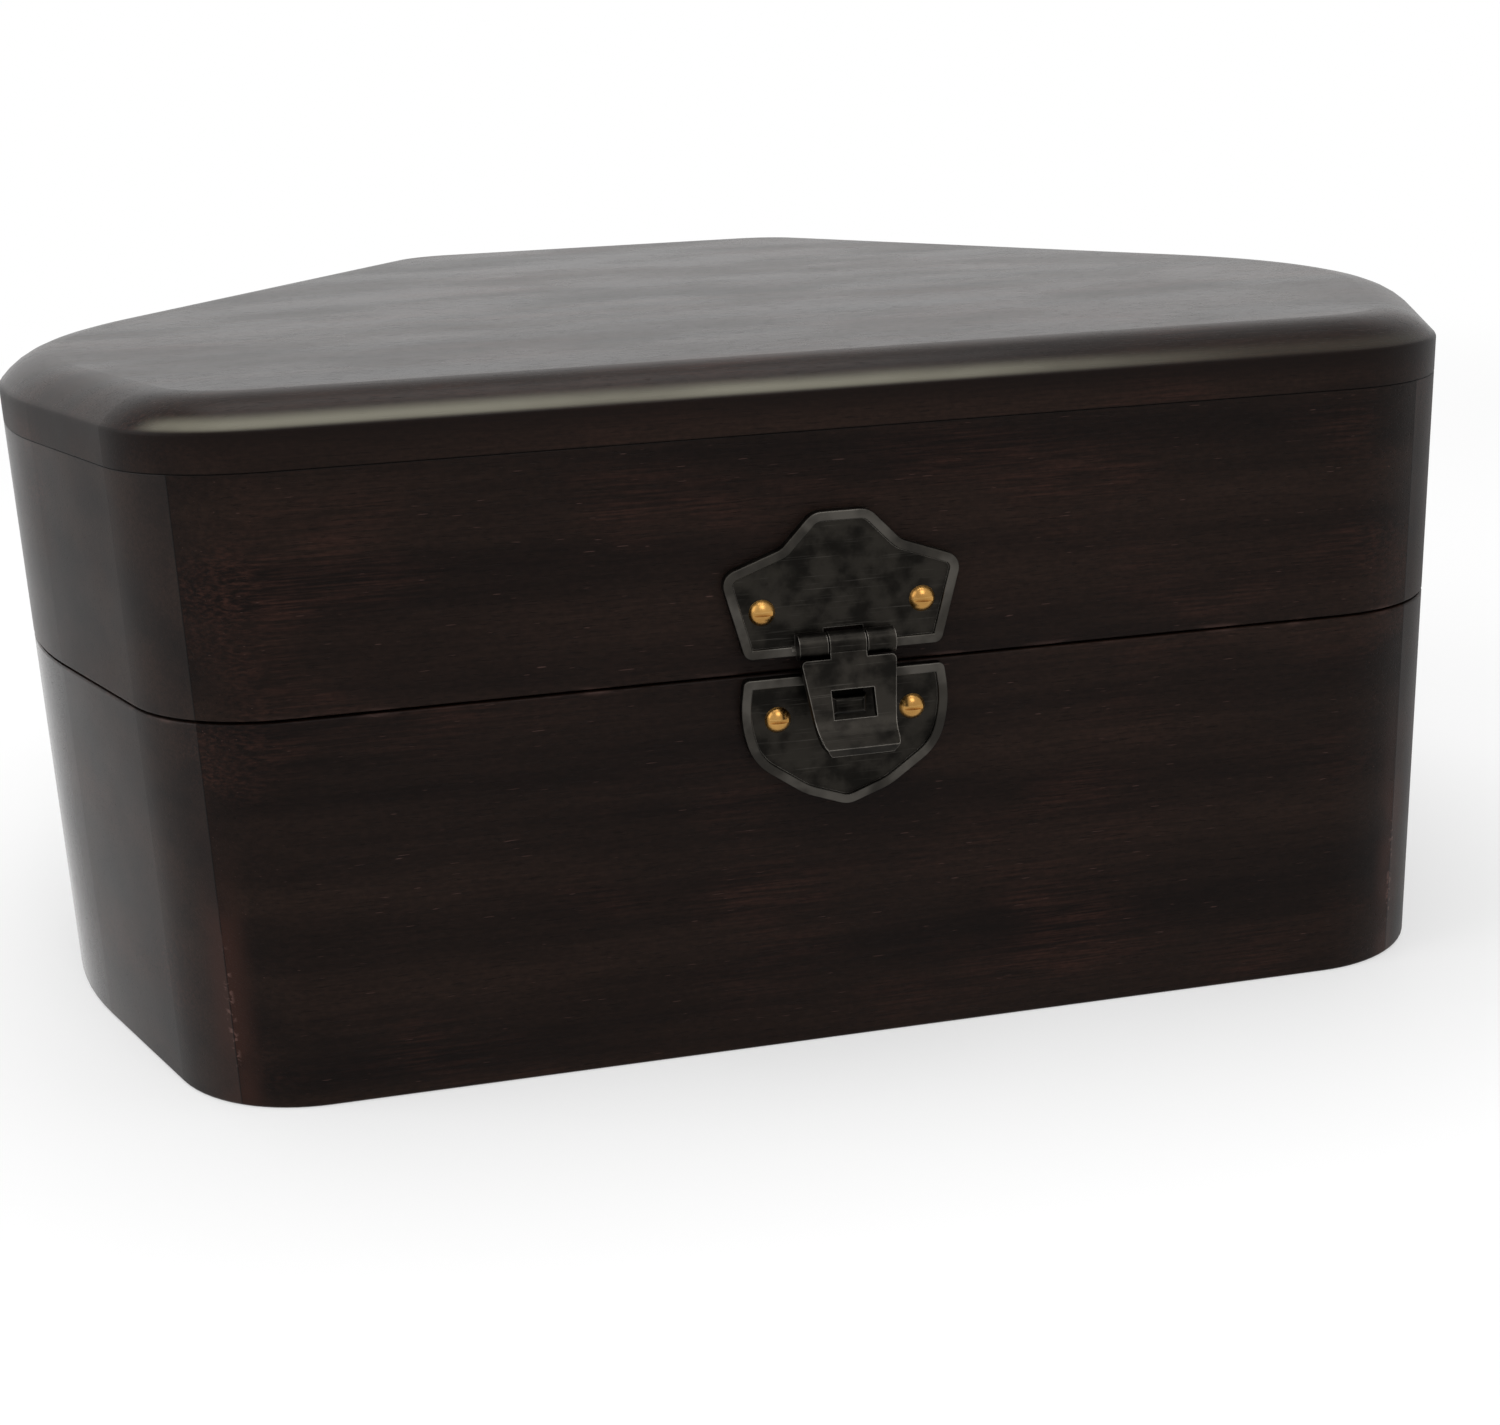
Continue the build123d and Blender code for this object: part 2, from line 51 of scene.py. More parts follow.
view = {
    "imageWidth": 1500,
    "imageHeight": 1425,
    "focalPixels": 2087.8,
    "centreAcross": 746.5,  # where the camera's axis meets the picture, in pixels
    "centreDown": 715.8,
    "place": (-0.06275, -0.3377, 0.12095),
    "yaw": 0.207,  # radians, here and in the next two
    "pitchDown": 0.300,
    "roll": 0.041,
    "sensorWidth": 36.0,
    "nearest": 0.01,
}


def placeCamera():
    yaw = view["yaw"]
    pitch = view["pitchDown"]
    roll = view["roll"]
    forward = Vector((sin(yaw) * cos(pitch), cos(yaw) * cos(pitch), -sin(pitch)))
    level = Vector((cos(yaw), -sin(yaw), 0))
    down = forward.cross(level)
    across = cos(roll) * level + sin(roll) * down
    pictureDown = cos(roll) * down - sin(roll) * level
    camera = bpy.data.cameras.new("photoView")
    camera.sensor_width = view["sensorWidth"]
    camera.lens = view["focalPixels"] / view["imageWidth"] * view["sensorWidth"]
    camera.shift_x = (view["imageWidth"] / 2 - view["centreAcross"]) / view["imageWidth"]
    camera.shift_y = (view["centreDown"] - view["imageHeight"] / 2) / view["imageWidth"]
    camera.clip_start = view["nearest"]
    cameraObject = bpy.data.objects.new("photoView", camera)
    turn = Matrix((across, -pictureDown, -forward)).transposed().to_4x4()
    cameraObject.matrix_world = Matrix.Translation(view["place"]) @ turn
    bpy.context.scene.collection.objects.link(cameraObject)
    bpy.context.scene.camera = cameraObject


placeCamera()
bpy.context.scene.view_settings.view_transform = "Standard"
print("Camera placed")


# Shader helpers. A value may be a number, a colour or another node's output.

white = (1.0, 1.0, 1.0)


def newMaterial(name):
    material = bpy.data.materials.new(name)
    material.use_nodes = True
    material.node_tree.nodes.clear()
    return material, material.node_tree


def setSocket(tree, socket, value):
    if isinstance(value, bpy.types.NodeSocket):
        tree.links.new(value, socket)
    elif socket.type == "RGBA":
        socket.default_value = (*value, 1.0)
    else:
        socket.default_value = value


def put(tree, kind, inputs, **settings):
    shaderNode = tree.nodes.new("ShaderNode" + kind)
    for key, value in settings.items():
        setattr(shaderNode, key, value)
    for key, value in inputs.items():
        setSocket(tree, shaderNode.inputs[key], value)
    return shaderNode


def calc(tree, operation, first, second=0.0):
    return put(tree, "Math", {0: first, 1: second}, operation=operation).outputs[0]


def product(tree, *factors):
    result = factors[0]
    for factor in factors[1:]:
        result = calc(tree, "MULTIPLY", result, factor)
    return result


def placeInMillimetres(tree):
    # Where a point lies in the box's own frame, so the finish stays put when a part moves.
    atPlace = put(tree, "TexCoord", {}).outputs["Object"]
    scale = (1 / millimetre, 1 / millimetre, 1 / millimetre)
    return put(tree, "VectorMath", {0: atPlace, 1: scale}, operation="MULTIPLY").outputs["Vector"]


def along(tree, place, axis):
    return put(tree, "SeparateXYZ", {"Vector": place}).outputs[axis]


def towardsFront(tree, place):
    return calc(tree, "MULTIPLY", along(tree, place, "Y"), -1.0)


def grey(tree, value):
    return put(tree, "CombineColor", {"Red": value, "Green": value, "Blue": value}).outputs[0]


def spread(tree, value, low, high, lowResult=0.0, highResult=1.0):
    # A smooth change from one result to the other as the value goes from low to high.
    inputs = {
        "Value": value,
        "From Min": low,
        "From Max": high,
        "To Min": lowResult,
        "To Max": highResult,
    }
    return put(tree, "MapRange", inputs, interpolation_type="SMOOTHSTEP").outputs["Result"]


def fade(tree, value, low, high, rest=0.0):
    # 1 up to low, and down to the rest at high.
    return spread(tree, value, low, high, 1.0, rest)


def nearHeight(tree, height, level, reach):
    # 1 at that height, and 0 further from it than reach.
    return fade(tree, calc(tree, "ABSOLUTE", calc(tree, "SUBTRACT", height, level)), 0.0, reach)


def blendColours(tree, amount, first, second, how="MIX"):
    mixer = put(tree, "Mix", {}, data_type="RGBA", blend_type=how)
    setSocket(tree, mixer.inputs["Factor"], amount)
    setSocket(tree, mixer.inputs[6], first)  # a Mix node's two colours are its inputs 6 and 7
    setSocket(tree, mixer.inputs[7], second)
    return mixer.outputs[2]


def grained(tree, place, size, detail=2.0, roughness=0.5):
    # Noise whose patches are so many millimetres along the grain and across it.
    scale = (1 / size[0], 1 / size[1], 1 / size[1])
    stretched = put(tree, "VectorMath", {0: place, 1: scale}, operation="MULTIPLY").outputs["Vector"]
    inputs = {"Vector": stretched, "Scale": 1.0, "Detail": detail, "Roughness": roughness}
    return put(tree, "TexNoise", inputs).outputs[0]


def patches(tree, place, size, levels, results=(0.0, 1.0), detail=2.0):
    # Soft patches: where the noise is between the two levels it goes from one result to the other.
    return spread(tree, grained(tree, place, size, detail), *levels, *results)


def finishMaterial(tree, shader, bumps):
    # Each bump is a height from 0 to 1 and its depth in metres.
    normal = None
    for height, depth in bumps:
        inputs = {"Height": height, "Distance": depth, "Strength": 1.0}
        if normal is not None:
            inputs["Normal"] = normal
        normal = put(tree, "Bump", inputs).outputs["Normal"]
    tree.links.new(normal, shader.inputs["Normal"])
    put(tree, "OutputMaterial", {"Surface": shader.outputs[0]})


def giveMaterial(nodeName, material):
    mesh = nodes[nodeName].data
    mesh.materials.clear()
    mesh.materials.append(material)


# Plan of the walls, for the felt and for the mitres in the wood

plan = {
    "depth": 0.195,
    "frontWidth": 0.160,
    "widestWidth": 0.221,
    "widestFromFront": 0.0705,
    "backWidth": 0.080,
    "frontRadius": 0.020,
    "sideRadius": 0.075,
    "backRadius": 0.018,
    "pointSpacing": 0.0025,  # round the corners
    "sideSteps": 13,  # along each straight side
}


def planCorners():
    # Corner and radius, the way the clock turns backwards, from the left end of the back.
    halfDepth = plan["depth"] / 2
    widestPlace = plan["widestFromFront"] - halfDepth
    return [
        (Vector((-plan["backWidth"] / 2, halfDepth)), plan["backRadius"]),
        (Vector((-plan["widestWidth"] / 2, widestPlace)), plan["sideRadius"]),
        (Vector((-plan["frontWidth"] / 2, -halfDepth)), plan["frontRadius"]),
        (Vector((plan["frontWidth"] / 2, -halfDepth)), plan["frontRadius"]),
        (Vector((plan["widestWidth"] / 2, widestPlace)), plan["sideRadius"]),
        (Vector((plan["backWidth"] / 2, halfDepth)), plan["backRadius"]),
    ]


def cornerTurn(corners, index):
    # The two ways from a corner along its sides, and half the angle between them.
    here = corners[index][0]
    before = (corners[index - 1][0] - here).normalized()
    after = (corners[(index + 1) % len(corners)][0] - here).normalized()
    return before, after, before.angle(after) / 2


def divided(first, second):
    # The points between two points. Every inset of a side has the same count.
    count = plan["sideSteps"]
    return [first.lerp(second, step / count) for step in range(1, count)]


def planOutline(inset):
    # The walls' outline moved in by inset. It starts and ends at the middle of the back.
    corners = planCorners()
    points = []
    for index, (corner, radius) in enumerate(corners):
        before, after, halfAngle = cornerTurn(corners, index)
        centre = corner + (before + after).normalized() * radius / sin(halfAngle)
        start = corner + before * radius / tan(halfAngle) - centre
        turn = pi - 2 * halfAngle
        steps = ceil(turn * radius / plan["pointSpacing"])
        arc = []
        for step in range(steps + 1):
            way = Matrix.Rotation(turn * step / steps, 2) @ start
            arc.append(centre + way * (1 - inset / radius))
        if points:
            points += divided(points[-1], arc[0])
        points += arc
    middle = Vector((0.0, points[-1].y))
    last = divided(points[-1], middle) + [middle]
    first = [Vector((-point.x, point.y)) for point in reversed(last)]
    return first + points + last


# Wood. The grain is solid: it runs through each board in one direction, as sawn wood does.
# Sizes are in millimetres along and across the grain. Levels are where a noise starts and is full.

darkWood = {
    "deep": (0.0045, 0.0024, 0.0019),
    "body": (0.0140, 0.0076, 0.0054),
    "warm": (0.0260, 0.0108, 0.0076),
    "worn": (0.1150, 0.0640, 0.0540),
    "joint": (0.0012, 0.0009, 0.0008),
    "paintedArrisHighlight": (0.1520, 0.1440, 0.1120),  # painted highlight along the lid's front arris
    "figure": (120.0, 8.0),
    "figureLevels": (0.30, 0.72),
    "fibre": (9.0, 0.34),
    "fibreLevels": (0.35, 0.70),
    "fibreShade": (0.80, 1.18),
    "patch": (32.0, 15.0),
    "patchLevels": (0.48, 0.78),
    "pores": {"size": (2.2, 0.17), "levels": (0.60, 0.72), "detail": 1.0},
    "poreShare": 0.55,
    "poreDulling": 0.12,
    "mottle": {"size": (0.90, 0.45), "levels": (0.25, 0.75), "results": (0.80, 1.20)},
    "wave": (26.0, 8.0),
    "poreDepth": 0.000035,  # metres, here and in the next two
    "fibreDepth": 0.000014,
    "waveDepth": 0.000008,
    "rimWear": 0.30,
}
blockWood = dict(
    darkWood,
    deep=(0.030, 0.010, 0.006),
    body=(0.105, 0.040, 0.022),
    warm=(0.190, 0.075, 0.038),
    worn=(0.240, 0.110, 0.060),
)
# Millimetres towards the front: heldAt is where a side begins to be duller, and is fully so.
polishes = {
    "front": {"specular": 0.07, "roughness": (0.40, 0.54), "relief": 1.0},
    "lidSide": {"specular": 0.15, "roughness": (0.14, 0.19), "relief": 0.5, "heldAt": (15.0, 88.0)},
    "baseSide": {"specular": 0.15, "roughness": (0.10, 0.14), "relief": 0.5, "heldAt": (34.0, 93.0)},
    "top": {"specular": 0.07, "roughness": (0.25, 0.30), "relief": 0.35},
    "back": {"specular": 0.12, "roughness": (0.38, 0.52), "relief": 0.8},
    "under": {"specular": 0.12, "roughness": (0.55, 0.72), "relief": 1.0},
    "block": {"specular": 0.35, "roughness": (0.34, 0.50), "relief": 0.6},
}
smear = {"size": (30.0, 18.0), "levels": (0.3, 0.7), "detail": 4.0}  # of every polish
heldDulling = 0.40  # hands have smoothed the sides where they are widest, and less towards the front
edgeDulling = 0.18  # of the top board's edge, under the crease
seedShift = Vector((7.0, 3.0, 1.0))  # millimetres, so that each board shows another part of the tree
acrossBoard = 0.0  # the grain's turn from the box's width
alongSide = radians(78.0)
boards = {
    "base_front_wall": {"grain": acrossBoard, "seed": 3, "tone": 1.00, "polish": "front"},
    "base_back_wall": {"grain": acrossBoard, "seed": 11, "tone": 0.95, "polish": "back"},
    "base_left_wall": {"grain": alongSide, "seed": 23, "tone": 1.10, "polish": "baseSide"},
    "base_right_wall": {"grain": -alongSide, "seed": 31, "tone": 0.92, "polish": "baseSide"},
    "base_bottom_panel": {"grain": acrossBoard, "seed": 43, "tone": 0.90, "polish": "under"},
    "lid_front_wall": {"grain": acrossBoard, "seed": 53, "tone": 1.05, "polish": "front"},
    "lid_back_wall": {"grain": acrossBoard, "seed": 61, "tone": 1.00, "polish": "back"},
    "lid_left_wall": {"grain": alongSide, "seed": 71, "tone": 1.05, "polish": "lidSide"},
    "lid_right_wall": {"grain": -alongSide, "seed": 83, "tone": 0.95, "polish": "lidSide"},
    "lid_top_board": {"grain": acrossBoard, "seed": 97, "tone": 1.10, "polish": "top"},
}
blocks = {
    "leg_block_left": {"grain": acrossBoard, "seed": 7, "tone": 1.0, "polish": "block"},
    "leg_block_right": {"grain": acrossBoard, "seed": 8, "tone": 0.93, "polish": "block"},
    "leg_block_back": {"grain": acrossBoard, "seed": 9, "tone": 1.06, "polish": "block"},
}
frontCorner = 3  # the plan's corners at the right end of the front and of the back
backCorner = 5


def grainColour(tree, turned, wood, tone):
    # The colour of sound wood, with its fibres and pores.
    figure = grained(tree, turned, wood["figure"], detail=4.0)
    fibre = grained(tree, turned, wood["fibre"], detail=3.0, roughness=0.6)
    pore = patches(tree, turned, **wood["pores"])
    patch = grained(tree, turned, wood["patch"], detail=3.0)
    tint = blendColours(tree, spread(tree, figure, *wood["figureLevels"]), wood["deep"], wood["body"])
    thin = product(
        tree,
        spread(tree, patch, *wood["patchLevels"]),
        spread(tree, fibre, *wood["fibreLevels"]),
    )
    tint = blendColours(tree, thin, tint, wood["warm"])
    dark, light = (shade * tone for shade in wood["fibreShade"])
    shade = spread(tree, fibre, *wood["mottle"]["levels"], dark, light)
    shade = product(tree, shade, patches(tree, turned, **wood["mottle"]))
    tint = blendColours(tree, 1.0, tint, grey(tree, shade), how="MULTIPLY")
    tint = blendColours(tree, product(tree, pore, wood["poreShare"]), tint, wood["deep"])
    return tint, fibre, pore


wallWear = {
    "rimReach": 0.7,  # millimetres, as are all sizes and reaches here
    "rimPatches": {"size": (9.0, 2.5), "levels": (0.50, 0.68), "detail": 4.0},
    "flatFace": (0.80, 0.98, 0.12),  # the rim's flat face, which is hardly worn
    "warmthReach": (0.5, 4.5),  # from a front mitre
    "warmthEnds": (20.0, 42.0),  # heights
    "warmthPatches": {
        "size": (7.0, 7.0),
        "levels": (0.30, 0.60),
        "results": (0.25, 0.95),
        "detail": 3.0,
    },
    "chipReach": (0.2, 0.9),
    "chips": {"size": (1.2, 0.8), "levels": (0.55, 0.62)},
    "chipsFrom": (4.0, 7.0),  # heights between which the chips on the front corners begin and end
    "chipsTo": (19.0, 23.0),
    "chipShare": 0.6,
    "nicks": {"size": (1.9, 0.16), "levels": (0.82, 0.90), "detail": 0.0},
    "nickShare": 0.4,
    "mitreLine": (0.05, 0.16),
    "mitreBreaks": {"size": (5.0, 5.0), "levels": (0.25, 0.45)},
    "mitreShare": 0.7,
}


def mitreDistance(tree, place, cornerNumbers):
    # Millimetres from the nearest mitre plane of those corners of the plan, left and right alike.
    parts = put(tree, "SeparateXYZ", {"Vector": place})
    sideways = calc(tree, "ABSOLUTE", parts.outputs["X"])
    nearest = plan["depth"] / millimetre
    corners = planCorners()
    for index in cornerNumbers:
        corner = corners[index][0] / millimetre
        before, after, halfAngle = cornerTurn(corners, index)
        inward = (before + after).normalized()
        across = Vector((-inward.y, inward.x))
        reach = calc(tree, "MULTIPLY", sideways, across.x)
        reach = calc(tree, "ADD", reach, calc(tree, "MULTIPLY", parts.outputs["Y"], across.y))
        away = calc(tree, "ABSOLUTE", calc(tree, "SUBTRACT", reach, corner.dot(across)))
        nearest = calc(tree, "MINIMUM", nearest, away)
    return nearest


def rimHeight(name):
    if name.startswith("lid"):
        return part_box("lid_front_wall")[0].z / millimetre
    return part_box("base_front_wall")[1].z / millimetre


def frontCornerWear(tree, wood, place, height, tint):
    # The base's front corners are rubbed to a warmer brown low down, and chipped along the mitre.
    away = mitreDistance(tree, place, (frontCorner,))
    warmth = product(
        tree,
        fade(tree, away, *wallWear["warmthReach"]),
        fade(tree, height, *wallWear["warmthEnds"]),
        patches(tree, place, **wallWear["warmthPatches"]),
    )
    tint = blendColours(tree, warmth, tint, wood["warm"])
    chip = product(
        tree,
        fade(tree, away, *wallWear["chipReach"]),
        patches(tree, place, **wallWear["chips"]),
        spread(tree, height, *wallWear["chipsFrom"]),
        fade(tree, height, *wallWear["chipsTo"]),
        wallWear["chipShare"],
    )
    return blendColours(tree, chip, tint, wood["worn"])


def wallMarks(tree, name, wood, place, height, tint):
    # The seam's rubbed arrises, the front's corners and small nicks, and the lines of the mitres.
    facing = put(tree, "TexCoord", {}).outputs["Normal"]
    worn = product(
        tree,
        patches(tree, place, **wallWear["rimPatches"]),
        nearHeight(tree, height, rimHeight(name), wallWear["rimReach"]),
        fade(tree, calc(tree, "ABSOLUTE", along(tree, facing, "Z")), *wallWear["flatFace"]),
        wood["rimWear"],
    )
    tint = blendColours(tree, worn, tint, wood["worn"])
    if name.startswith("base") and "back" not in name:
        tint = frontCornerWear(tree, wood, place, height, tint)
    if "front" in name:
        nick = patches(tree, place, **wallWear["nicks"])
        tint = blendColours(tree, product(tree, nick, wallWear["nickShare"]), tint, wood["worn"])
    away = mitreDistance(tree, place, (frontCorner, backCorner))
    broken = patches(tree, place, **wallWear["mitreBreaks"])
    line = product(tree, fade(tree, away, *wallWear["mitreLine"]), broken, wallWear["mitreShare"])
    return blendColours(tree, line, tint, wood["joint"])


topWear = {
    "jointReach": 0.22,  # millimetres, as are all sizes and reaches here
    "jointShare": 0.8,
    "creaseBelowTop": 2.95,
    "creaseReach": 1.3,
    "underCrease": (0.80, 0.30),  # below the crease, where the painted highlight on the arris gives way to painted shade
    # How far below the crease the painted shade reaches, and how strong it is
    "creaseShadeReach": 5.0,
    "creaseShade": 0.8,
    "frontArris": (90.5, 94.5),
    "arrisFades": (5.0, 60.0, 0.12),  # from the middle towards the right
    "arrisPatches": {
        "size": (22.0, 6.0),
        "levels": (0.25, 0.60),
        "results": (0.70, 1.0),
        "detail": 3.0,
    },
}
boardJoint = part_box("lid_top_board")[0].z / millimetre
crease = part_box("lid_top_board")[1].z / millimetre - topWear["creaseBelowTop"]


def topMarks(tree, wood, place, height, tint):
    # Painted shade just under the crease, and a painted highlight along the arris at the lid's front.
    lower, upper = (crease - drop for drop in topWear["underCrease"])
    # Painted shade: the wood is darkened just under the crease.
    creaseShade = product(
        tree,
        spread(tree, height, crease - topWear["creaseShadeReach"], lower),
        spread(tree, height, lower, upper, topWear["creaseShade"], 0.0),
    )
    tint = blendColours(tree, creaseShade, tint, wood["deep"])
    # Painted highlight: a lighter band along the arris at the lid's front, fading towards the right.
    paintedArrisHighlight = product(
        tree,
        nearHeight(tree, height, crease, topWear["creaseReach"]),
        spread(tree, height, lower, upper),
        spread(tree, towardsFront(tree, place), *topWear["frontArris"]),
        fade(tree, along(tree, place, "X"), *topWear["arrisFades"]),
        patches(tree, place, **topWear["arrisPatches"]),
    )
    return blendColours(tree, paintedArrisHighlight, tint, wood["paintedArrisHighlight"])


def polishRoughness(tree, wood, board, place, height, pore):
    polish = polishes[board["polish"]]
    gloss = patches(tree, place, **smear, results=polish["roughness"])
    gloss = calc(tree, "ADD", gloss, product(tree, pore, wood["poreDulling"] * polish["relief"]))
    if board["polish"] == "top":
        edge = spread(tree, height, crease - topWear["creaseReach"], crease, edgeDulling, 0.0)
        gloss = calc(tree, "ADD", gloss, edge)
    if "heldAt" in polish:
        held = spread(tree, towardsFront(tree, place), *polish["heldAt"], 0.0, heldDulling)
        gloss = calc(tree, "ADD", gloss, held)
    return gloss


def woodMaterial(name, wood, board):
    material, tree = newMaterial(name)
    place = placeInMillimetres(tree)
    turning = {
        "Vector": place,
        "Rotation": (0, 0, -board["grain"]),
        "Location": board["seed"] * seedShift,
    }
    turned = put(tree, "Mapping", turning).outputs["Vector"]
    height = along(tree, place, "Z")
    tint, fibre, pore = grainColour(tree, turned, wood, board["tone"])
    if name.endswith("_wall"):
        tint = wallMarks(tree, name, wood, place, height, tint)
    if name == "lid_top_board":
        tint = topMarks(tree, wood, place, height, tint)
    if name.startswith("lid"):
        joint = nearHeight(tree, height, boardJoint, topWear["jointReach"])
        tint = blendColours(tree, product(tree, joint, topWear["jointShare"]), tint, wood["joint"])
    polish = polishes[board["polish"]]
    finish = {
        "Base Color": tint,
        "Roughness": polishRoughness(tree, wood, board, place, height, pore),
        "Specular IOR Level": polish["specular"],
    }
    shader = put(tree, "BsdfPrincipled", finish)
    relief = calc(tree, "SUBTRACT", fibre, product(tree, pore, wood["poreDepth"] / wood["fibreDepth"]))
    wave = grained(tree, turned, wood["wave"], detail=1.0)
    waveDepth = wood["waveDepth"] * polish["relief"]
    fibreDepth = wood["fibreDepth"] * polish["relief"]
    finishMaterial(tree, shader, [(wave, waveDepth), (relief, fibreDepth)])
    return material


for nodeName, board in boards.items():
    giveMaterial(nodeName, woodMaterial(nodeName, darkWood, board))
for nodeName, board in blocks.items():
    giveMaterial(nodeName, woodMaterial(nodeName, blockWood, board))
print("Wood finished")


# Metals

bronze = {
    "deep": (0.0085, 0.0078, 0.0068),
    "body": (0.0250, 0.0225, 0.0190),
    "rubbed": (0.1750, 0.1620, 0.1430),
    "roughness": (0.34, 0.50),
    "patch": (3.5, 3.5),
    "patchDetail": 4.0,
    "patchLevels": (0.34, 0.66),
    "scratch": (7.0, 0.16),
    "scratchShare": 0.18,
    "edgeReach": 0.00026,
    "edgeRub": 0.85,
    "patinaDepth": 0.000022,
    "scratchDepth": 0.000008,
    "borderFace": 98.9,  # millimetres to the front, where the plates' raised borders stand
    "borderReach": 0.35,
    "borderEdge": (0.0, 0.4),
    "borderPatches": {
        "size": (6.0, 6.0),
        "levels": (0.38, 0.62),
        "results": (0.10, 0.36),
        "detail": 3.0,
    },
}
brass = {
    "deep": (0.320, 0.165, 0.046),
    "body": (0.470, 0.258, 0.074),
    "rubbed": (0.740, 0.480, 0.180),
    "roughness": (0.26, 0.36),
    "patch": (3.2, 3.2),
    "patchDetail": 1.5,
    "patchLevels": (0.25, 0.70),
    "scratch": (5.0, 0.12),
    "scratchShare": 0.30,
    "edgeReach": 0.00015,
    "edgeRub": 0.60,
    "patinaDepth": 0.000006,
    "scratchDepth": 0.000002,
}
steel = {
    "deep": (0.060, 0.050, 0.042),
    "body": (0.330, 0.320, 0.310),
    "rubbed": (0.500, 0.490, 0.480),
    "roughness": (0.34, 0.60),
    "patch": (1.2, 1.2),
    "patchDetail": 4.0,
    "patchLevels": (0.34, 0.66),
    "scratch": (4.0, 0.15),
    "scratchShare": 0.30,
    "edgeReach": 0.00010,
    "edgeRub": 0.30,
    "patinaDepth": 0.000010,
    "scratchDepth": 0.000004,
}
metalWear = {
    "patinaRoughness": 0.55,
    "glossLevels": (0.35, 0.70),
    "scratchLevels": (0.60, 0.80),
    "edgeAlike": (0.84, 0.97),  # how alike the two surface directions are on a sharp edge and off it
    "edgePatches": (0.30, 0.60, 0.45, 1.0),
    "edgeSamples": 6,
}


def edgeWear(tree, reach):
    # 1 on sharp edges, where the rounded and the plain surface directions differ.
    rounded = put(tree, "Bevel", {"Radius": reach}, samples=metalWear["edgeSamples"]).outputs["Normal"]
    plain = put(tree, "NewGeometry", {}).outputs["Normal"]
    alike = put(tree, "VectorMath", {0: rounded, 1: plain}, operation="DOT_PRODUCT").outputs["Value"]
    return fade(tree, alike, *metalWear["edgeAlike"])


def metalMaterial(name, metal):
    material, tree = newMaterial(name)
    place = placeInMillimetres(tree)
    patina = grained(tree, place, metal["patch"], metal["patchDetail"], metalWear["patinaRoughness"])
    scratch = grained(tree, place, metal["scratch"])
    sound = spread(tree, patina, *metal["patchLevels"])
    tint = blendColours(tree, sound, metal["deep"], metal["body"])
    edge = product(
        tree,
        edgeWear(tree, metal["edgeReach"]),
        spread(tree, patina, *metalWear["edgePatches"]),
        metal["edgeRub"],
    )
    rubbed = spread(tree, scratch, *metalWear["scratchLevels"], 0.0, metal["scratchShare"])
    rubbed = calc(tree, "MAXIMUM", rubbed, edge)
    if "borderFace" in metal:
        border = nearHeight(tree, towardsFront(tree, place), metal["borderFace"], metal["borderReach"])
        border = product(
            tree,
            spread(tree, border, *metal["borderEdge"]),
            patches(tree, place, **metal["borderPatches"]),
        )
        rubbed = calc(tree, "MAXIMUM", rubbed, border)
    tint = blendColours(tree, rubbed, tint, metal["rubbed"])
    gloss = spread(tree, patina, *metalWear["glossLevels"], *metal["roughness"])
    shader = put(tree, "BsdfPrincipled", {"Base Color": tint, "Roughness": gloss, "Metallic": 1.0})
    finishMaterial(tree, shader, [(patina, metal["patinaDepth"]), (scratch, metal["scratchDepth"])])
    return material


bronzeFinish = metalMaterial("antiqueBronze", bronze)
brassFinish = metalMaterial("screwBrass", brass)
steelFinish = metalMaterial("bradSteel", steel)
for nodeName in ("latch_base_plate", "latch_catch", "latch_lid_plate", "latch_pin", "latch_tongue"):
    giveMaterial(nodeName, bronzeFinish)
for nodeName in nodes:
    if "hinge" in nodeName or nodeName.endswith("_screws"):
        giveMaterial(nodeName, brassFinish)
giveMaterial("base_panel_pins", steelFinish)
print("Metals finished")


# Felt

felt = {
    "colour": (0.150, 0.010, 0.016),
    "shadow": (0.070, 0.004, 0.007),
    "fibre": (0.35, 0.35),  # millimetres
    "fibreDepth": 0.00018,
    "cloud": (14.0, 14.0),
    "cloudShade": (0.85, 1.12),
    "cloudDepth": 0.0002,
    "levels": (0.3, 0.7),
    "roughness": 0.95,
    "specular": 0.15,
    "sheen": 0.35,
    "sheenRoughness": 0.6,
    "sheenTint": (0.75, 0.35, 0.35),
    "thickness": 0.0014,
    "roll": 0.0004,  # rounding of a cut edge
    "swell": 0.00012,
    "swellSize": 0.009,
    "gridStep": 0.003,
    "rowStep": 0.003,
    "buttGap": 0.0003,  # where a strip's two ends meet
    "blockClearance": 0.0003,
    "blockRadius": 0.0043,
    "stripInset": 0.01005,  # from the walls' outer face, as is the next
    "sheetInset": 0.0116,
    "rollSegments": 3,
    "sharpAngle": radians(60),
    "cutTolerance": 1e-6,
}


